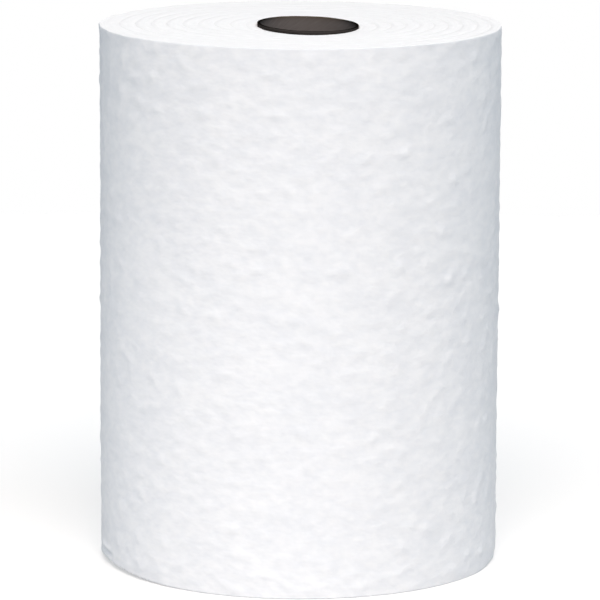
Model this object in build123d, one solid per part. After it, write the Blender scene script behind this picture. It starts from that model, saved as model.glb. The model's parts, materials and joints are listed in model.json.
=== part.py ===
from build123d import *
from math import cos, radians, sin
import os

# A hard-wound roll of white paper towel on a paperboard core, standing on one end.
# Sizes are in millimetres. +Z runs up the roll, -Y is its front, and the origin is in the middle
# of the end that it stands on.

# Driving sizes
sheet_width = 203.2  # the towel's width, so the height of the wound roll
roll_diameter = 151.0  # across the outermost turn
core_diameter = 38.1  # outside the paperboard tube that the towel is wound on
core_wall = 1.0  # its thickness, so the hole for a dispenser's spindle is that much smaller all round
core_offset = 2.7  # the roll is wound a little off centre, so its core lies this far towards +X
core_slip = 1.2  # the core is pushed up by this much, so it stands proud above and is drawn in below
sheet_thickness = 0.16  # one layer of towel as wound, seen as a step where the glued tail ends
turns_shown = 10  # turns that the spiral line on each end marks, each some thirty-five layers thick
line_width = 0.5  # the spiral line, a V cut between the turns
line_depth = 0.35
knock_depth = 1.5  # the bottom corner on the right was knocked, and is worn in by this much
knock_width = 62.0  # how far the knocked place runs round the corner
knock_lean = 26.0  # degrees between its slope and the wall

roll_radius = roll_diameter / 2
core_radius = core_diameter / 2

# The winding fills the space between the core and the outside. Off the middle, that space is
# narrower on the right of the roll than on its left, and so is each turn.
first_right = core_radius + core_offset
first_left = core_radius - core_offset
pitch_right = (roll_radius - first_right) / turns_shown
pitch_left = (roll_radius - first_left) / turns_shown


def line_crossings():
    """The places where the spiral line crosses the X axis, right and left by turns, from the core out.

    The line would leave the core at the back and reach the outside there, at the tail. Its first and
    last quarter-turns are left off, where it would run too near the edge.
    """
    crossings = []
    for turn in range(turns_shown):
        crossings.append(first_right + (turn + 0.25) * pitch_right)
        crossings.append(-first_left - (turn + 0.75) * pitch_left)
    return crossings


def half_turn(start, end, height, inward):
    """A V-shaped cutter carried half way round, from start to end on the X axis.

    Its tip is one line depth inside the end at this height, and its wide side stands as far clear
    of that end, where it is twice the line's width.
    """
    tip = (start, 0, height + inward * line_depth)
    left = (start - line_width, 0, height - inward * line_depth)
    right = (start + line_width, 0, height - inward * line_depth)
    section = make_face(Polyline(tip, left, right, close=True))
    middle = Axis(((start + end) / 2, 0, 0), (0, 0, 1))
    return revolve(section, middle, 180)


def spiral_cutter(height, inward):
    """The whole spiral line of one end, made of half-turns that meet on the X axis.

    Each half-turn has its middle on that axis, so it meets the next one square on, and its two ends
    differ by half a turn's thickness. Seen from above, the line runs outwards clockwise: by the front
    from right to left, and by the back from left to right. A half-turn is carried anticlockwise, so
    it starts at its outer end.
    """
    crossings = line_crossings()
    pieces = []
    for inner, outer in zip(crossings, crossings[1:]):
        pieces.append(half_turn(outer, inner, height, inward))
    return pieces[0].fuse(*pieces[1:])


def end_outline():
    """The roll's shape seen from above, less the core.

    Over its last turn the outside grows clockwise by one sheet, by the front and then the left, up to
    the step where the tail ends at the back.
    """
    quarter_step = sheet_thickness / 4
    left_half = CenterArc((0, quarter_step), roll_radius - quarter_step, 90, 180)
    right_half = CenterArc((0, -quarter_step), roll_radius - 3 * quarter_step, 270, 180)
    tail_step = Line(right_half @ 1, left_half @ 0)
    filled = make_face(Curve() + [left_half, right_half, tail_step])
    return filled - Pos(core_offset, 0) * Circle(core_radius)


def knocked_corner():
    """What is gone from the bottom corner on the right: all of it that lies outside a large ball.

    The ball's surface passes one knock depth inside the corner and leans away from the wall. The ball
    is flatter than the roll is round, by just as much as makes the two meet at the ends of the knock.
    """
    lean = radians(knock_lean)
    base_reach = knock_depth / cos(lean)
    wall_reach = knock_depth / sin(lean)
    curvature = 1 / roll_radius - 8 * base_reach / knock_width**2
    ball_radius = 1 / (curvature * cos(lean))
    from_corner = ball_radius + knock_depth
    middle = Pos(roll_radius - from_corner * cos(lean), 0, from_corner * sin(lean))
    corner = Pos(roll_radius, 0, 0) * Box(roll_radius, roll_diameter, 4 * wall_reach)
    return corner - middle * Rot(0, 0, 180) * Sphere(ball_radius)


def make_towel():
    """The wound towel: one solid, with its turns marked by a spiral line on both ends."""
    block = extrude(end_outline(), sheet_width) - knocked_corner()
    return block - spiral_cutter(0, 1) - spiral_cutter(sheet_width, -1)


def make_core():
    """The paperboard tube that the towel is wound on, cut off together with it by one saw."""
    ring = Circle(core_radius) - Circle(core_radius - core_wall)
    return Pos(core_offset, 0, core_slip) * extrude(ring, sheet_width)


os.makedirs("parts", exist_ok=True)
for name, shape in (("towel", make_towel()), ("core", make_core())):
    export_step(shape, f"parts/{name}.step")
    print(name, "volume", round(shape.volume), "faces", len(shape.faces()))
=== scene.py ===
# %% [markdown]
# A hard-wound roll of white paper towel, standing on one of its cut ends.
# The real one is a single long sheet of creped paper, wound tight round a paperboard tube. What the
# eye reads is quiet: the pebbled crepe on the wall, the thin spiral on the cut ends where the turns
# meet, the dark board in the hole, set darker still as painted shade, and the soft shadow where the
# roll meets the floor. Each step below makes one of these, and says why it is made that way.

# %% Load the frame
import json
import math

import bmesh
import bpy
import numpy as np
from mathutils import Matrix, Vector


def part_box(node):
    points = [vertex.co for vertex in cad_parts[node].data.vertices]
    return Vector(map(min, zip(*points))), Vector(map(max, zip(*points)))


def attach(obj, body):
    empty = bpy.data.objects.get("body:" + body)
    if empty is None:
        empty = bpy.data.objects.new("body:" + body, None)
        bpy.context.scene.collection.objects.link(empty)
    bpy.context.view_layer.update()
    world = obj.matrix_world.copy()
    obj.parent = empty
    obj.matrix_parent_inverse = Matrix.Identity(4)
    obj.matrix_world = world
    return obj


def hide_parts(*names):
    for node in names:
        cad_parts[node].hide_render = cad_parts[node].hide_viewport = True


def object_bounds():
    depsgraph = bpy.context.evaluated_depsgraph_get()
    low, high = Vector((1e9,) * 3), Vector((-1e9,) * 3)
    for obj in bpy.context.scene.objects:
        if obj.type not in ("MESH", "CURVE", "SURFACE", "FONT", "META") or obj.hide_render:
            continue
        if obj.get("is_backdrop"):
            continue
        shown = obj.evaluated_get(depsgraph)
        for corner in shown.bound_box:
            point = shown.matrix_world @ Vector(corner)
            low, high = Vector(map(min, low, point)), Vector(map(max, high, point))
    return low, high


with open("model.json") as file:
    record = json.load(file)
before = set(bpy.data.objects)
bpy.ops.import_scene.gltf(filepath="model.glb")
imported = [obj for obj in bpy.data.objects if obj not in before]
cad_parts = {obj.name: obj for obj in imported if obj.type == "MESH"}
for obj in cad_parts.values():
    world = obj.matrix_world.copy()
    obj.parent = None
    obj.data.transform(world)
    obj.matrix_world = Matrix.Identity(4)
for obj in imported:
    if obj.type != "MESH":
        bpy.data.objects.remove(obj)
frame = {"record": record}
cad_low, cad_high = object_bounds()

print("CAD box in mm:", [round(1000 * value, 1) for value in (*cad_low, *cad_high)])

# %% [markdown]
# The roll's sizes come from the solids that were modelled first, so that the pieces made here lie
# exactly where those are. Typing the sizes again would let the two drift apart. Only what is finer
# than the solids, such as the crepe, has sizes of its own, and each is named where it is first used.

# %% Sizes of the roll
mm = 0.001
towel_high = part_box("towel")[1]
core_low, core_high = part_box("core")
bore = next(mount for mount in frame["record"]["mounts"] if mount["name"] == "core_bore")

roll_radius = towel_high.y  # at the back, where the tail ends and the roll is widest
sheet_width = towel_high.z
core_x = bore["pos_m"][0]  # the roll is wound a little off centre
bore_radius = bore["dims"]["r_mm"] * mm
core_radius = (core_high.y - core_low.y) / 2
turns = 10  # turns that the spiral on each end shows
sheet_thickness = 0.16 * mm
tail_edge = 0.3 * mm  # the arc over which the last sheet's cut edge drops
print("roll", round(2 * roll_radius / mm, 1), "mm across, core", round(2 * core_radius / mm, 1), "mm")

# %% [markdown]
# Every point of the towel has an angle round the roll. It starts at the tail's edge, at the back, and
# grows clockwise seen from above, the way the sheet is wound. The columns of points stand closer
# together at the tail, where the cut edge of the sheet is a step of a sixth of a millimetre.
# The last column lies where the first one does, which closes the wall.

# %% Angles round the roll
columns = 344
step_angle = tail_edge / roll_radius
at_start = [0, step_angle]
evenly = np.linspace(3 * step_angle, math.tau - 4 * step_angle, columns - 4)
at_tail = [math.tau - 2 * step_angle, math.tau - step_angle, math.tau]
angles = np.concatenate([at_start, evenly, at_tail])


def on_circle(radius, angle, height, middle_x=0.0):
    """Points at a radius round an upright line: x is the middle plus the radius times the angle's
    sine, y the radius times its cosine, and z the height."""
    radius, angle, height = np.broadcast_arrays(radius, angle, height)
    return np.stack([middle_x + radius * np.sin(angle), radius * np.cos(angle), height], axis=-1)


def outside(angle):
    """The wound roll's radius: it grows by one sheet over the last turn and drops back at the tail."""
    grown = np.where(angle < math.tau, angle / math.tau, 0.0)
    return roll_radius - sheet_thickness * (1 - grown)


print("columns:", len(angles), "one every", round(math.tau * roll_radius / columns / mm, 2), "mm")

# %% [markdown]
# Creped paper is covered in soft pebbles a few millimetres long. A noise texture could only pretend
# to be them, and an image would repeat. Here the pebbles are a real surface: the sum of a few hundred
# cosine waves that run in all directions. Each wave goes a whole number of times round the roll, so
# the pattern has no seam. The long, slow waves under it are the slack in the last turns.


# %% The crepe
def ripples(angle, height, lengths, count, seed, stretch=1.0):
    """A random surface of unit strength on the wall: a sum of cosines of (times round * angle + rise *
    height + phase), whose wavelengths lie between the two lengths. A wave's strength is in step with
    its length. Stretch makes the waves so much longer round the roll."""
    random = np.random.default_rng(seed)
    shortest, longest = lengths
    length = shortest * (longest / shortest) ** random.random(count)
    heading = random.uniform(0, math.tau, count)
    phase = random.uniform(0, math.tau, count)
    times_round = np.round(math.tau * roll_radius / length * np.cos(heading) / stretch)
    rise = math.tau / length * np.sin(heading)
    total = np.zeros(np.broadcast(angle, height).shape)
    for strength, times, steep, start in zip(length, times_round, rise, phase):
        total += strength * np.cos(times * angle + steep * height + start)
    return total / math.sqrt((length**2).sum() / 2)


pebble_lengths = (3.3 * mm, 11 * mm)
pebble_height = 0.082 * mm
pebble_sharpness = 0.3
slack_lengths = (45 * mm, 170 * mm)
slack_height = 0.05 * mm
wall_margin = 0.1 * mm  # the wall's mean lies this far inside the solid


def crepe(angle, height):
    """How far the paper stands out at each point: pebbles, a little sharper than their hollows, on slow
    waves."""
    pebbles = ripples(angle, height, pebble_lengths, count=320, seed=11, stretch=1.25)
    pebbles = pebbles + pebble_sharpness * (pebbles**2 - 1)
    slack = ripples(angle, height, slack_lengths, count=60, seed=5)
    return pebble_height * pebbles + slack_height * slack - wall_margin


halfway_up = (crepe(angles, sheet_width / 2) + wall_margin) / mm
print("relief halfway up:", round(halfway_up.min(), 2), "to", round(halfway_up.max(), 2), "mm")

# %% [markdown]
# Handling leaves its marks on the bottom rim. The wall draws in a hair over its lowest millimetres.
# The corner was knocked on the right. In front on the left the outer turns have slipped up by about
# two millimetres, and there is a short slanting crease in them. Each of these is a formula of the
# angle or the height, added to the wall's radius or to the height of its lower edge.

# %% Wear at the bottom rim
tuck_in = 0.25 * mm
tuck_height = 3.2 * mm

crease_middle = math.radians(255.5)  # the roll's left side is at 270 degrees
crease_reach = math.radians(6)
crease_height = 4.9 * mm
crease_rise = 3.1 * mm  # per radian, towards the left
crease_depth = 1.15 * mm
crease_width = 0.75 * mm
swelling_height = 0.5 * crease_depth
swelling_above = 2.2  # how far its middle lies above the groove, in widths of the crease
swelling_width = 1.3  # in widths of the crease too

knock_middle = math.pi / 2  # the roll's right side
knock_reach = 31 * mm

slip_up = 1.9 * mm
slip_middle = math.radians(251)  # the front is at 180 degrees
slip_reach = math.radians(22)


def tuck(height):
    """How far the wall draws in at its foot: a bell curve of the height above the floor."""
    return tuck_in * np.exp(-((height / tuck_height) ** 2))


def crease(angle, height):
    """The slanting crease: a narrow groove along a rising line with a low swelling above it, both
    fading out to the two sides."""
    aside = (angle - crease_middle) / crease_reach
    fade = np.exp(-(aside**4))
    above = (height - crease_height - crease_rise * (angle - crease_middle)) / crease_width
    groove = crease_depth * np.exp(-(above**2))
    swelling = swelling_height * np.exp(-(((above - swelling_above) / swelling_width) ** 2))
    return fade * (swelling - groove)


def knock(angle):
    """1 in the middle of the knocked corner, falling as a parabola to 0 at its two ends."""
    aside = roll_radius * (angle - knock_middle) / knock_reach
    return np.clip(1 - aside**2, 0, 1)


def slip(angle):
    """How far the lower edge has slipped up: a bell curve of the angle."""
    return slip_up * np.exp(-(((angle - slip_middle) / slip_reach) ** 2))


print("the lower edge has slipped up by", round(slip(angles).max() / mm, 2), "mm at most")

# %% [markdown]
# The tail is the end of the sheet, held by a few dabs of glue a finger's width from its edge. Between
# the dabs the edge stands off by a hair, and the cut isn't quite straight. So the columns near the
# tail are swayed to and fro with height, and the last centimetre lifts in slow waves.

# %% The tail
tail_reach = 12 * mm
tail_sway = 0.45 * mm
tail_lift = 0.22 * mm
rim_margin = 15 * mm  # the sway grows from nothing over this much at the top and the bottom


def waves(place, *sines):
    """A sum of sines of a place: strength * sin(pace * place + start), with these three for each."""
    return sum(strength * np.sin(pace * place + start) for strength, pace, start in sines)


def rim_window(height):
    """0 on both rims and 1 from the margin inwards, with a smooth rise."""
    inside = np.clip(np.minimum(height, sheet_width - height) / rim_margin, 0, 1)
    return inside * inside * (3 - 2 * inside)


def swayed(angle, height):
    """The angles with the cut edge's sway: two sines of the height, strongest at the tail."""
    arc = roll_radius * np.minimum(angle, math.tau - angle)
    near_tail = np.exp(-((arc / tail_reach) ** 2))
    sway = waves(height / mm, (0.6, 1 / 19, 0.7), (0.4, 1 / 7.3, 0)) * rim_window(height)
    return angle + tail_sway / roll_radius * sway * near_tail


def lifted(angle, height):
    """How far the last centimetre of the sheet stands off: a rise towards the edge times slow waves."""
    before = np.where(angle < math.tau, roll_radius * (math.tau - step_angle - angle), math.inf)
    rise = np.clip(1 - before / tail_reach, 0, 1) ** 2
    return tail_lift * rise * (0.45 + waves(height / mm, (0.35, 1 / 13, 2.1), (0.2, 1 / 5.1, 0)))


def wall_radius(angle, height):
    """The wall: the wound radius, plus the crepe, the crease and the tail's lift, less the tuck."""
    relief = crepe(swayed(angle, height), height) + crease(angle, height) - tuck(height)
    return outside(angle) + relief + lifted(angle, height)


edge_lift = lifted(math.tau - step_angle, np.linspace(0, sheet_width, 200))
print("the tail's edge stands off by", round(edge_lift.max() / mm, 2), "mm at most")

# %% [markdown]
# The wall is now a profile carried round the roll: a small round corner at the top, straight rows
# down, and a corner at the bottom that grows where the roll was knocked. Rows stand closer near the
# floor, because the tuck and the crease live in the lowest few millimetres.

# %% The wall and its corners
top_corner = 0.35 * mm
bottom_corner = 0.5 * mm
knock_in = 1.5 * mm
knock_up = 3.0 * mm
fine_zone = 9 * mm  # above the foot, where the rows stand close
fine_step = 0.55 * mm
even_rows = 158
corner_in = bottom_corner + knock_in * knock(angles)
corner_up = bottom_corner + knock_up * knock(angles)
foot = slip(angles)  # the height of the lower edge above the floor


def corner_steps(count):
    """The angles of a quarter round, without its two ends, which the rows next to it already have."""
    return np.linspace(0, math.pi / 2, count + 2)[1:-1, None]


def wall_rows():
    """Heights of the wall's rows from the top down, with fine steps near the floor. A plain wall's rows
    are squeezed evenly into the height that the corner at the foot leaves."""
    whole = sheet_width - top_corner - bottom_corner
    fine = np.arange(0, fine_zone, fine_step)
    even = np.linspace(fine[-1] + 2 * fine_step, whole - top_corner, even_rows)
    above = np.concatenate([fine, even, [whole]])[::-1, None]
    return foot + corner_up + above * (sheet_width - top_corner - foot - corner_up) / whole


heights = wall_rows()
radii = wall_radius(angles, heights)
wall = on_circle(radii, swayed(angles, heights), heights)

turn_down = corner_steps(2)
top_rim = radii[0]
round_in = top_corner * (1 - np.sin(turn_down))
round_down = top_corner * (1 - np.cos(turn_down))
top_round = on_circle(top_rim - round_in, angles, sheet_width - round_down)

turn_under = corner_steps(4)
bottom_rim = radii[-1]
round_in = corner_in * (1 - np.cos(turn_under))
round_up = corner_up * (1 - np.sin(turn_under))
bottom_round = on_circle(bottom_rim - round_in, angles, foot + round_up)
radius_range = [round(radii.min() / mm, 2), round(radii.max() / mm, 2)]
print("wall rows:", len(heights), "radius in mm:", *radius_range)

# %% [markdown]
# Each cut end shows the spiral of the winding. A bump texture would fade at a low angle, so its line
# is a real groove, and the turns lie a little higher or lower than their neighbours. At the top the
# innermost turns have sunk besides, most of all in front, and so the hole looks rounder than a level
# one would.

# %% How deep the cut ends lie
groove_width = 0.5 * mm
groove_depth = 0.22 * mm
drift_depth = 0.1 * mm
fade_turns = 0.4  # groove and drift fade out over this much of a turn, at the hole and at the rim
dish_depth = 2.0 * mm
dish_reach = 18.5 * mm
dish_turned = math.radians(15)  # its deepest place lies so far to the right of the front
dish_narrowness = 1.3
brim_softness = 0.01
turn_thickness = (roll_radius - core_radius) / turns


def drift(turn):
    """How deep the sheet's edge lies after so many turns: slow sines of the turn, between 0 and 1."""
    return 0.5 + 0.5 * waves(turn, (0.45, 2.3, 1), (0.35, 0.83, 4), (0.2, 5.1, 0))


def edge_depth(share):
    """How deep the end lies at a share of the way from the hole to the rim: the drift of the turns,
    and a V-shaped groove on the spiral line. Both fade out at the hole and the rim."""
    place = share * turns
    wound = place - angles / math.tau
    whole = np.floor(wound + 1e-6)
    aside = np.abs(wound - np.round(wound)) * turn_thickness
    here = drift(whole + angles / math.tau)
    before = drift(whole - 1 + angles / math.tau)
    on_line = aside < 0.01 * groove_width
    level = np.where(on_line, (here + before) / 2, here)
    groove = groove_depth * np.clip(1 - 2 * aside / groove_width, 0, 1)
    inner = np.clip(place / fade_turns, 0, 1)
    outer = np.clip((turns - place) / fade_turns, 0, 1)
    return (drift_depth * level + groove) * inner * outer


def dish(share):
    """How far the innermost turns have sunk: a straight slope down to the hole, rounded at its brim. It
    is a smooth maximum of 0 and the slope: half their sum plus the root of its square and a bit. Its
    depth goes from nothing near the back to its whole near the front, as a power of a cosine."""
    way_in = 1 - share * turns * turn_thickness / dish_reach
    lowest = dish_depth * ((1 - np.cos(angles + dish_turned)) / 2) ** dish_narrowness
    return lowest * (way_in + np.sqrt(way_in**2 + brim_softness)) / 2


sunk_most = dish(np.zeros(len(angles))).max()
print("a turn is", round(turn_thickness / mm, 2), "mm thick on average")
print("the innermost one has sunk by up to", round(sunk_most / mm, 2), "mm")

# %% [markdown]
# The rows of points follow the spiral themselves: row after row leaves the hole, drifts outwards by one
# turn per turn, and ends at the rim. The groove between two turns is then just three rows, with the
# middle one lower. Rows that haven't left the hole yet, or have reached the rim, lie on top of each
# other, and are merged afterwards.

# %% The cut ends
hole_radius = core_radius + 0.04 * mm
hole_corner = 0.15 * mm
slipped_part = 1 / 3  # of the way in from the rim, at the bottom


def cut_end(fractions, rim_radius, rim_in):
    """Shares of the way out and depths, for rows at these fractions of each turn. A row's share is its
    turn plus the angle's part of a turn, over the number of turns, kept between the two corners."""
    rows = (np.arange(-1, turns)[:, None] + np.array(fractions)).reshape(-1, 1)
    rim = on_circle(rim_radius, angles, 0)
    span = np.linalg.norm(rim - on_circle(hole_radius, angles, 0, core_x), axis=-1)
    share = np.clip((rows + angles / math.tau) / turns, hole_corner / span, 1 - rim_in / span)
    return share, edge_depth(share)


def between(share, rim_radius, height):
    """Points on the straight line from the hole's edge to the rim, at the same angle on both."""
    inner = on_circle(hole_radius, angles, 0, core_x)
    outer = on_circle(rim_radius, angles, 0)
    points = inner + share[..., None] * (outer - inner)
    points[..., 2] = height
    return points


shoulder = groove_width / 2 / turn_thickness  # half a groove, in turns
top_share, depth = cut_end([0, shoulder, 0.36, 0.64, 1 - shoulder], top_rim, top_corner)
top_end = between(top_share, top_rim, sheet_width - depth - dish(top_share))
bottom_share, depth = cut_end([0, shoulder, 0.5, 1 - shoulder], bottom_rim, corner_in)
slipped = np.clip(1 - (1 - bottom_share) / slipped_part, 0, 1) ** 2
bottom_end = between(bottom_share, bottom_rim, depth + foot * slipped)
hole_top = sheet_width - dish_depth - hole_corner
hole = on_circle(hole_radius, angles, np.array([[hole_corner], [sheet_width / 2], [hole_top]]), core_x)
print("rows on the top end:", len(top_end), "on the bottom end:", len(bottom_end))

# %% [markdown]
# All the rows, stacked, are one grid that runs round the roll and, through the hole, back to its own
# start. A function turns such a grid into a mesh with its faces outwards. Another one merges the points
# that lie on top of each other, and the count of open edges that it prints shows whether the skin is
# whole.


# %% From grid to mesh
def placed(name, data):
    """A new object in the scene, made of this mesh, lamp or camera."""
    thing = bpy.data.objects.new(name, data)
    bpy.context.scene.collection.objects.link(thing)
    return thing


def skin(name, points, along, joined):
    """A mesh from a grid of points whose last row leads back to its first. A face's corners are the
    row, the next column, that column's next row, and the next row. The vector along goes with each
    point, for the finishes. Joined says whether the last column leads back to the first one too."""
    rows, count = points.shape[:2]
    number = np.arange(rows * count).reshape(rows, count)
    number = np.append(number, number[:1], axis=0)
    if joined:
        number = np.append(number, number[:, :1], axis=1)
    corners = np.stack([number[:-1, :-1], number[:-1, 1:], number[1:, 1:], number[1:, :-1]], axis=-1)
    mesh = bpy.data.meshes.new(name)
    mesh.from_pydata(points.reshape(-1, 3), [], corners.reshape(-1, 4))
    layer = mesh.attributes.new("along", "FLOAT_VECTOR", "POINT")
    layer.data.foreach_set("vector", along.astype(np.float32).ravel())
    mesh.shade_smooth()
    return placed(name, mesh)


def merge_doubles(piece, within=0.0005 * mm):
    """Joins the points that lie closer than this, and drops the faces that shrink to nothing."""
    work = bmesh.new()
    work.from_mesh(piece.data)
    bmesh.ops.remove_doubles(work, verts=work.verts, dist=within)
    work.to_mesh(piece.data)
    open_edges = sum(not edge.is_manifold for edge in work.edges)
    triangles = sum(len(face.verts) - 2 for face in work.faces)
    work.free()
    print(piece.name, "triangles:", triangles, "open edges:", open_edges)


# %% [markdown]
# With each point of the towel go the sine and cosine of its angle and its way out from the hole in
# millimetres, for the finish of the cut ends. That finish is the second material, and it covers the
# faces of the ends' rows.

# %% The towel
outer_rows = len(top_round) + len(wall) + len(bottom_round)
towel_grid = np.concatenate([top_end, top_round, wall, bottom_round, bottom_end[::-1], hole])

at_rim = np.ones((outer_rows, len(angles)))
at_hole = np.zeros((len(hole), len(angles)))
share = np.concatenate([top_share, at_rim, bottom_share[::-1], at_hole])
way_out = share * turns * turn_thickness / mm
polar = np.stack(np.broadcast_arrays(np.sin(angles), np.cos(angles), way_out), axis=-1)
towel = skin("towel_roll", towel_grid, polar, joined=False)

is_end = np.zeros(len(towel_grid), int)
is_end[: len(top_end)] = 1
is_end[len(top_end) + outer_rows : -len(hole)] = 1
towel.data.polygons.foreach_set("material_index", np.repeat(is_end, len(angles) - 1))
merge_doubles(towel)

# %% [markdown]
# The core is a tube of paperboard, wound from a long strip on a slant, so a thin seam climbs it like a
# stripe on a barber's pole. Its columns of points climb the same way, which makes the seam three
# columns wide and lets the board's fibres run along it. Its rows run from the top ring down the
# outside, under the bottom ring and up the bore, and stand closer where the board has painted shade.

# %% The core's rows
core_columns = 150
seam_climb = 85 * mm  # the seam rises this much in one turn
seam_width = 0.45 * mm
core_edge = 0.12 * mm
core_top = core_high.z - 0.5 * mm
close_rows = np.array([0, 0.4, 0.9, 1.6, 2.6]) * mm  # how far they lie from a ring's edge
even_zone = 5 * mm  # the even rows begin this far from the ends
even_core_rows = 50
ring_rows = 4

core_step = seam_width / 2 / bore_radius
core_angles = np.concatenate([[0], np.linspace(core_step, math.tau - core_step, core_columns)])


def core_profile():
    """Radius and height of each row, from the top ring outwards, down the outside, inwards under the
    bottom ring and up the bore."""
    from_end = core_edge + close_rows
    middle = np.linspace(core_low.z + even_zone, core_top - even_zone, even_core_rows)
    up = np.concatenate([core_low.z + from_end, middle, core_top - from_end[::-1]])
    ring = np.linspace(bore_radius + core_edge, core_radius - core_edge, ring_rows)
    radius = [ring, np.full_like(up, core_radius), ring[::-1], np.full_like(up, bore_radius)]
    height = [np.full_like(ring, core_top), up[::-1], np.full_like(ring, core_low.z), up]
    return np.concatenate(radius)[:, None], np.concatenate(height)[:, None]


core_rows, core_heights = core_profile()
print("rows on the core:", len(core_rows))
print("its top ring stands", round((core_top - sheet_width) / mm, 2), "mm proud of the towel")

# %% [markdown]
# The seam is a fine groove in both faces of the board, and the saw has left shallow waves on both rings.
# The top ring has sunk with the turns round it, so the upper half of the core leans: by a cosine of the
# angle to the front, and by a sine to the right.

# %% Its seam, saw marks and lean
seam_depth = 0.14 * mm
saw_depth = 0.08 * mm
lean_front = 0.6 * mm  # the top ring has sunk by so much at the sides, and by twice as much in front
lean_right = 0.5 * mm  # by so much more on the right, and less on the left


def seam(radius, angle):
    """The seam's depth: 1 on the seam and 0 from half its width onwards."""
    arc = radius * np.minimum(angle, math.tau - angle)
    return np.clip(1 - 2 * arc / seam_width, 0, 1)


middle_radius = (bore_radius + core_radius) / 2
on_rings = (core_heights == core_top) | (core_heights == core_low.z)
into_board = np.sign(middle_radius - core_rows) * seam_depth * seam(core_rows, core_angles)
saw_marks = saw_depth * (0.5 + waves(core_angles, (0.3, 7, 1), (0.2, 23, 0)))
sawn = core_heights - on_rings * np.sign(core_heights - sheet_width / 2) * saw_marks

climbing = core_angles + math.tau * core_heights / seam_climb
leaning = lean_front * (np.cos(climbing) - 1) - lean_right * np.sin(climbing)
sunk = sawn + leaning * np.clip(core_heights / core_top * 2 - 1, 0, 1)
core_grid = on_circle(core_rows + np.where(on_rings, 0, into_board), climbing, sunk, core_x)
ring_above = (sunk[0] - sheet_width) / mm
print("top ring, sunk:", round(ring_above.min(), 2), "to", round(ring_above.max(), 2), "mm proud")

# %% [markdown]
# Both rings are painted dark as shade, reaching furthest at the sides, less far at the back and least
# in front. Outside, the board is painted dark as shade where it meets the towel, a little less right
# at the rings. Painting this would need an image. Here each point carries how much painted shade it
# has, together with its place on the board in millimetres, and the finish reads all three.

# %% The core's painted shade
# The rings are painted dark as shade, reaching furthest at the sides of the hole.
ring_shade_reach = 0.3 * mm  # in front; three times as much at the back, and five times at the sides
wall_shade_reach = 2.2 * mm
wall_shade_at_ring = 0.7  # painted shade at the ring
wall_shade_beyond = 0.95  # painted shade from that reach on

# Painted shade near both rings, and on the board's outside where it meets the towel.
from_ring = np.minimum(core_top - core_heights, core_heights - core_low.z)
ring_shade_reach_here = ring_shade_reach * (1 + 4 * np.sin(climbing) ** 8 + 2 * np.clip(np.cos(climbing), 0, 1))
ring_shade = np.exp(-from_ring / ring_shade_reach_here)
wall_shade = wall_shade_at_ring + (wall_shade_beyond - wall_shade_at_ring) * np.clip(from_ring / wall_shade_reach, 0, 1)
painted_shade = np.maximum(ring_shade, np.where(core_rows > middle_radius, wall_shade, 0))
along = np.broadcast_arrays(core_rows * core_angles / mm, core_heights / mm, painted_shade)
core = skin("core_tube", core_grid, np.stack(along, axis=-1), joined=True)
merge_doubles(core)

# %% [markdown]
# The finishes are formulas on coordinates, so the shader maths is written as formulas too. A wire
# stands for a node's socket, and adding or multiplying wires adds the Math nodes. Setting them one by
# one would take five lines for each sum.


# %% Shader formulas
def feed(socket, value):
    """Gives a socket a value: a number or colour as it is, a wire as a link."""
    if isinstance(value, Wire):
        value.socket.id_data.links.new(value.socket, socket)
    else:
        socket.default_value = value


class Wire:
    """A socket's value in a formula. Each operator adds one Math node and gives its wire."""

    def __init__(self, socket):
        self.socket = socket

    def worked_out(self, operation, first, second):
        node = self.socket.id_data.nodes.new("ShaderNodeMath")
        node.operation = operation
        feed(node.inputs[0], first)
        feed(node.inputs[1], second)
        return Wire(node.outputs[0])

    def __add__(self, other):
        return self.worked_out("ADD", self, other)

    def __sub__(self, other):
        return self.worked_out("SUBTRACT", self, other)

    def __rsub__(self, other):
        return self.worked_out("SUBTRACT", other, self)

    def __mul__(self, other):
        return self.worked_out("MULTIPLY", self, other)

    def __truediv__(self, other):
        return self.worked_out("DIVIDE", self, other)

    def limited(self):
        """The value, kept between 0 and 1."""
        return self.worked_out("MINIMUM", self.worked_out("MAXIMUM", self, 0), 1)

    __radd__ = __add__
    __rmul__ = __mul__


# %% [markdown]
# Every finish here is a node tree round one Principled shader. One method makes a node of any type from
# its settings and its sockets' values. The nodes that each finish needs, which are cloudy noise, a mix
# of two colours and a bump, have short methods of their own.


# %% A finish in the making
class Finish:
    """A material in the making: a node tree with a Principled shader in it."""

    def __init__(self, name):
        self.material = bpy.data.materials.new(name)
        self.material.use_nodes = True
        self.tree = self.material.node_tree
        self.shader = self.tree.nodes["Principled BSDF"]

    def node(self, kind, output, settings, sockets):
        """Adds a node of this type and gives the wire of the output with this name. The settings come
        first, as they decide which sockets there are."""
        node = self.tree.nodes.new("ShaderNode" + kind)
        for name, value in settings.items():
            setattr(node, name, value)
        for name, value in sockets.items():
            feed(self.enabled(node.inputs, name), value)
        return Wire(self.enabled(node.outputs, output))

    def enabled(self, sockets, name):
        """The socket with this name, out of several that a node may have for different settings."""
        return next(socket for socket in sockets if socket.name == name and socket.enabled)

    def shade(self, sockets):
        """Sets the Principled shader's sockets."""
        for name, value in sockets.items():
            feed(self.shader.inputs[name], value)

    def noise(self, place, scale, detail, roughness=0.5):
        """Cloudy noise between 0 and 1, with so many clouds to the unit of place."""
        sockets = {"Vector": place, "Scale": scale, "Detail": detail, "Roughness": roughness}
        return self.node("TexNoise", "Fac", {}, sockets)

    def mixed(self, share, first, second):
        """A colour between two, the second one where the share is 1."""
        sockets = {"Factor": share, "A": first, "B": second}
        return self.node("Mix", "Result", {"data_type": "RGBA"}, sockets)

    def bump(self, height, distance):
        """A normal bent by a height from 0 to 1, which stands for a real distance in metres."""
        sockets = {"Height": height, "Distance": distance, "Strength": 1.0}
        return self.node("Bump", "Normal", {}, sockets)
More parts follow.
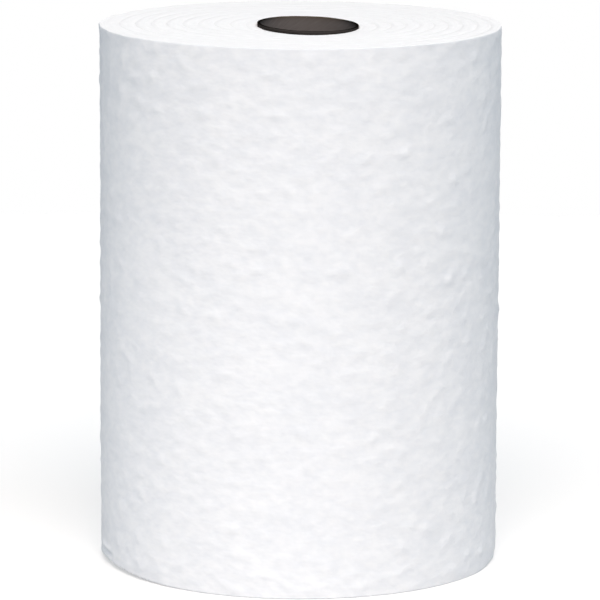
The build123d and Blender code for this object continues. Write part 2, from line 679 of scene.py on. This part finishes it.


# %% [markdown]
# The towel's paper is a cool white and has no gloss. The pebbles are in the mesh already. What is
# missing is what is finer than its faces: the creping itself, with ripples a few millimetres long
# round the roll and one or two apart up it, and the felt of the fibres. Both are bumps on Object
# coordinates in millimetres. The paper is painted a touch greyer in the creping's hollows, as painted
# shade, and as it isn't evenly thick, its white varies in faint clouds besides.

# %% The towel's paper
paper_white = (0.908, 0.908, 0.922, 1)
# The greyer white: painted shade in the creping's hollows, and thinner paper in the faint clouds.
paper_thin_and_hollow_shade = (0.838, 0.846, 0.873, 1)
paper_scale = (1000, 1000, 1650)  # in millimetres, and closer together up the roll than round it
clouds_per_mm = 0.06
creping_per_mm = 0.27
fibres_per_mm = 2.2
creping_depth = 0.15 * mm


def creped_paper():
    """The wall's finish: creping and felt as a bump, painted shade in the creping's hollows, and clouds.
    """
    finish = Finish("creped_paper")
    place = finish.node("TexCoord", "Object", {}, {})
    stretched = finish.node("Mapping", "Vector", {}, {"Vector": place, "Scale": paper_scale})
    clouds = finish.noise(stretched, clouds_per_mm, detail=3, roughness=0.6)
    creping = finish.noise(stretched, creping_per_mm, detail=1.5)
    fibres = finish.noise(stretched, fibres_per_mm, detail=2)
    height = 0.93 * creping + 0.07 * fibres
    # Greyer in the creping's hollows as painted shade, and in faint clouds where the paper is thinner.
    thinness_and_hollow_shade = (2.35 - 1.7 * creping - 2.0 * clouds).limited()
    finish.shade({
        "Base Color": finish.mixed(thinness_and_hollow_shade, paper_white, paper_thin_and_hollow_shade),
        "Roughness": 0.88 + 0.1 * creping,
        "Normal": finish.bump(height, creping_depth),
    })
    return finish.material


# %% [markdown]
# A cut end shows the edges of some three hundred and fifty sheets. They are too thin to be told apart,
# but the knife leaves some standing and some torn, which reads as fine rings. The noise is laid out on
# the sine, the cosine and the way out in millimetres, so it is long round the roll and short across it.

# %% The cut ends' paper
end_white = (0.9, 0.902, 0.912, 1)
end_shade = (0.84, 0.843, 0.855, 1)
ring_scale = (2.5, 2.5, 1.6)
torn_scale = (9, 9, 0.55)
torn_depth = 0.12 * mm


def cut_paper():
    """The ends' finish: fine rings and torn patches, as a bump and as a touch of grey."""
    finish = Finish("cut_paper")
    polar = finish.node("Attribute", "Vector", {"attribute_name": "along"}, {})
    rings = finish.node("Mapping", "Vector", {}, {"Vector": polar, "Scale": ring_scale})
    torn = finish.node("Mapping", "Vector", {}, {"Vector": polar, "Scale": torn_scale})
    streaks = finish.noise(rings, 1.0, detail=3, roughness=0.65)
    patches = finish.noise(torn, 1.0, detail=2)
    finish.shade({
        "Base Color": finish.mixed(((streaks + patches) * 1.6 - 1.2).limited(), end_white, end_shade),
        "Roughness": 0.9 + 0.08 * patches,
        "Normal": finish.bump(0.7 * streaks + 0.3 * patches, torn_depth),
    })
    return finish.material


towel.data.materials.append(creped_paper())
towel.data.materials.append(cut_paper())
print("the towel's finishes:", [material.name for material in towel.data.materials])

# %% [markdown]
# The board is a dull grey-brown, set darker than bare board as painted shade in the bore, with flecks
# and fibres that run along its seam. Where a point carries painted shade, the board goes towards
# near-black, except at the back, where it goes towards tan.

# %% The core's board
# Set darker than bare board, as painted shade in the bore.
board_brown_with_bore_shade = (0.165, 0.146, 0.14, 1)
board_fleck_with_bore_shade = (0.125, 0.108, 0.102, 1)
# The colours of the painted shade: near-black, and tan at the back.
painted_shade_black = (0.006, 0.005, 0.004, 1)
back_tan = (0.09, 0.065, 0.043, 1)
tan_from = 0.6 * bore_radius  # behind the roll's middle; from here the tan grows towards the back
tan_over = 0.3 * bore_radius
fibre_scale = (1.6, 0.25, 0)
fibre_depth = 0.1 * mm


def paperboard():
    """The core's finish: flecked board, with each point's painted shade, which is tan at the back."""
    finish = Finish("paperboard")
    ply = finish.node("Attribute", "Vector", {"attribute_name": "along"}, {})
    painted_shade = finish.node("SeparateXYZ", "Z", {}, {"Vector": ply})
    place = finish.node("TexCoord", "Object", {}, {})
    towards_back = finish.node("SeparateXYZ", "Y", {}, {"Vector": place})
    fibres = finish.node("Mapping", "Vector", {}, {"Vector": ply, "Scale": fibre_scale})
    flecks = finish.noise(fibres, 1.0, detail=3, roughness=0.6)
    colour = finish.mixed((flecks * 2 - 0.5).limited(), board_brown_with_bore_shade, board_fleck_with_bore_shade)
    tan = ((towards_back - tan_from) / tan_over).limited()
    # Painted shade goes towards near-black, and towards tan at the back.
    shade_colour = finish.mixed(tan, painted_shade_black, back_tan)
    finish.shade({
        "Base Color": finish.mixed(painted_shade.limited(), colour, shade_colour),
        "Roughness": 0.82 + 0.12 * flecks,
        "Specular IOR Level": 0.0,
        "Normal": finish.bump(flecks, fibre_depth),
    })
    return finish.material


core.data.materials.append(paperboard())

# %% [markdown]
# The two pieces take the places of the two solids, which are hidden. They ride on the part's
# only body.

# %% Into the frame
for piece, node, material in ((towel, "towel", "towel_paper"), (core, "core", "core_board")):
    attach(piece, "root")
    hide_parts(node)
    print(piece.name, "stands for", node)

# %% [markdown]
# The floor is a plain pale sheet that only serves as a ground for the shadow. It is no larger than a
# table, so the light that it throws back falls off up the wall, and the top is a little darker than
# the foot. A camera sees the sheet brighter than it is, by a glow that other rays don't meet, so that
# it is white where it is lit, and grey only where the roll shades it.

# %% The floor
floor_half = 0.8  # metres from its middle to its edges
floor_grey = (0.6, 0.6, 0.6, 1)
floor_glow = 0.45


def white_floor():
    """The floor's finish: plain grey to the light, and with a glow to the camera."""
    finish = Finish("white_floor")
    seen = finish.node("LightPath", "Is Camera Ray", {}, {})
    finish.shade({
        "Base Color": floor_grey,
        "Roughness": 1.0,
        "Specular IOR Level": 0.0,
        "Emission Color": seen * floor_glow,
        "Emission Strength": 1.0,
    })
    return finish.material


floor_mesh = bpy.data.meshes.new("floor")
floor_corners = [(-1, -1, 0), (1, -1, 0), (1, 1, 0), (-1, 1, 0)]
floor_mesh.from_pydata([Vector(corner) * floor_half for corner in floor_corners], [], [(0, 1, 2, 3)])
floor_mesh.materials.append(white_floor())
floor = placed("floor", floor_mesh)
floor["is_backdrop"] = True
print("floor:", 2 * floor_half, "m wide")

# %% [markdown]
# The world works in the same way. It lights the roll with a soft sky, but a camera sees plain white,
# and so do mirror and glass rays, which would otherwise show a sky that isn't in the picture.

# %% The world
sky_light = 0.21
sky_colour = (0.84, 1.03, 1.17, 1)
white_rays = ("Is Camera Ray", "Is Glossy Ray", "Is Transmission Ray")


def white_world():
    """A world with two backgrounds, the sky and plain white, and a mix of them by the kind of ray."""
    world = bpy.data.worlds.new("studio")
    world.use_nodes = True
    tree = world.node_tree
    light = tree.nodes["Background"]
    feed(light.inputs["Color"], sky_colour)
    feed(light.inputs["Strength"], sky_light)
    plain = tree.nodes.new("ShaderNodeBackground")
    feed(plain.inputs["Color"], (1, 1, 1, 1))
    rays = tree.nodes.new("ShaderNodeLightPath")
    camera, glossy, glass = [Wire(rays.outputs[kind]) for kind in white_rays]
    chosen = tree.nodes.new("ShaderNodeMixShader")
    feed(chosen.inputs[0], (camera + glossy + glass).limited())
    tree.links.new(light.outputs[0], chosen.inputs[1])
    tree.links.new(plain.outputs[0], chosen.inputs[2])
    tree.links.new(chosen.outputs[0], tree.nodes["World Output"].inputs["Surface"])
    return world


bpy.context.scene.world = white_world()
print("world:", bpy.context.scene.world.name)

# %% [markdown]
# The light is that of a small studio. Most of it comes from one very wide, soft lamp in front and high
# up, and that alone gives the slow fall of tone from the middle of the wall to its two edges. A weaker,
# bluer one on each side makes the edges cooler than the middle, and the one on the right is stronger.
# One behind the roll brings out the top end. All four are far off, as suns are. The sky adds a little
# more, a bit bluer than the front lamp.


# %% Lamps
def far_lamp(name, right, up, strength, spread, colour):
    """A far lamp, so many degrees to the camera's right and above the floor. It fills a disc of the sky
    whose width is the spread, and its strength is what falls on a sheet that faces it."""
    lamp = bpy.data.lights.new(name, "SUN")
    lamp.energy = strength
    lamp.angle = math.radians(spread)
    lamp.color = colour
    aside, height = math.radians(right), math.radians(up)
    level = math.cos(height)
    to_lamp = Vector((math.sin(aside) * level, -math.cos(aside) * level, math.sin(height)))
    placed(name, lamp).rotation_euler = to_lamp.to_track_quat("Z", "Y").to_euler()
    print("far lamp", name, "at", right, "and", up, "degrees, strength", strength)


far_lamp("key", right=0, up=50, strength=2.53, spread=40, colour=(1.0, 0.892, 0.818))
far_lamp("fill_right", right=60, up=30, strength=0.67, spread=40, colour=(0.73, 0.885, 1.0))
far_lamp("fill_left", right=-60, up=30, strength=0.2, spread=40, colour=(0.2, 0.65, 1.0))
far_lamp("back", right=180, up=30, strength=0.63, spread=20, colour=(1.0, 0.942, 0.895))

# %% [markdown]
# Two small strips do what far lamps can't, because they are near enough for their light to fall off.
# One stands close to the floor and brightens the wall's foot, most of all towards the left. The other
# hangs above the front and brightens the near part of the top end. The camera doesn't see them.


# %% The two strips
def strip_lamp(name, place, aim, size, power):
    """A rectangular lamp of this width and height in metres, at a place, that faces a point."""
    lamp = bpy.data.lights.new(name, "AREA")
    lamp.shape = "RECTANGLE"
    lamp.size, lamp.size_y = size
    lamp.energy = power
    holder = placed(name, lamp)
    holder.location = place
    holder.rotation_euler = (Vector(aim) - Vector(place)).to_track_quat("-Z", "Y").to_euler()
    holder.visible_camera = False
    print("strip", name, "of", power, "W")


strip_size = (0.3, 0.04)
strip_lamp("foot", (-0.25, -0.3, 0.05), aim=(0, 0, 0.05), size=strip_size, power=0.177)
strip_lamp("top", (0, -0.075, 0.36), aim=(0, -0.075, 0.2), size=strip_size, power=0.036)

# %% [markdown]
# The camera stands where the photographer's did. Its tilt was found from the outlines of the two ends:
# both are ellipses, and how round each one is gives the angle at which it is seen. The lower one is
# narrower and rounder than the upper one, and that gives the distance, about 1.7 m. The picture leans
# a fraction of a degree, so the camera does too.

# %% Camera
picture_width_px = 600
focal_px = 4494
camera_place = (0.0002, -1.676, 0.404)
looks_down = math.radians(10.35)
leans = math.radians(0.28)

camera = bpy.data.cameras.new("camera")
camera.sensor_width = 36
camera.lens = focal_px / picture_width_px * camera.sensor_width
camera.clip_start, camera.clip_end = 0.05, 50
stand = placed("camera", camera)
tilt = Matrix.Rotation(math.pi / 2 - looks_down, 4, "X") @ Matrix.Rotation(leans, 4, "Z")
stand.matrix_world = Matrix.Translation(camera_place) @ tilt
bpy.context.scene.camera = stand
bpy.context.scene.view_settings.view_transform = "Standard"
print("lens:", round(camera.lens, 1), "mm")

# %% [markdown]
# Last, the size of what was made is set beside the size of the solids. The two boxes must agree,
# because a part that is fitted somewhere by its solids has to look as large as they are.

# %% Sizes, and the end
low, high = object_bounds()
outgrown = (*(cad_low - low), *(high - cad_high))
print("outgrows the solids by, in mm:", [round(1000 * value, 2) for value in outgrown])
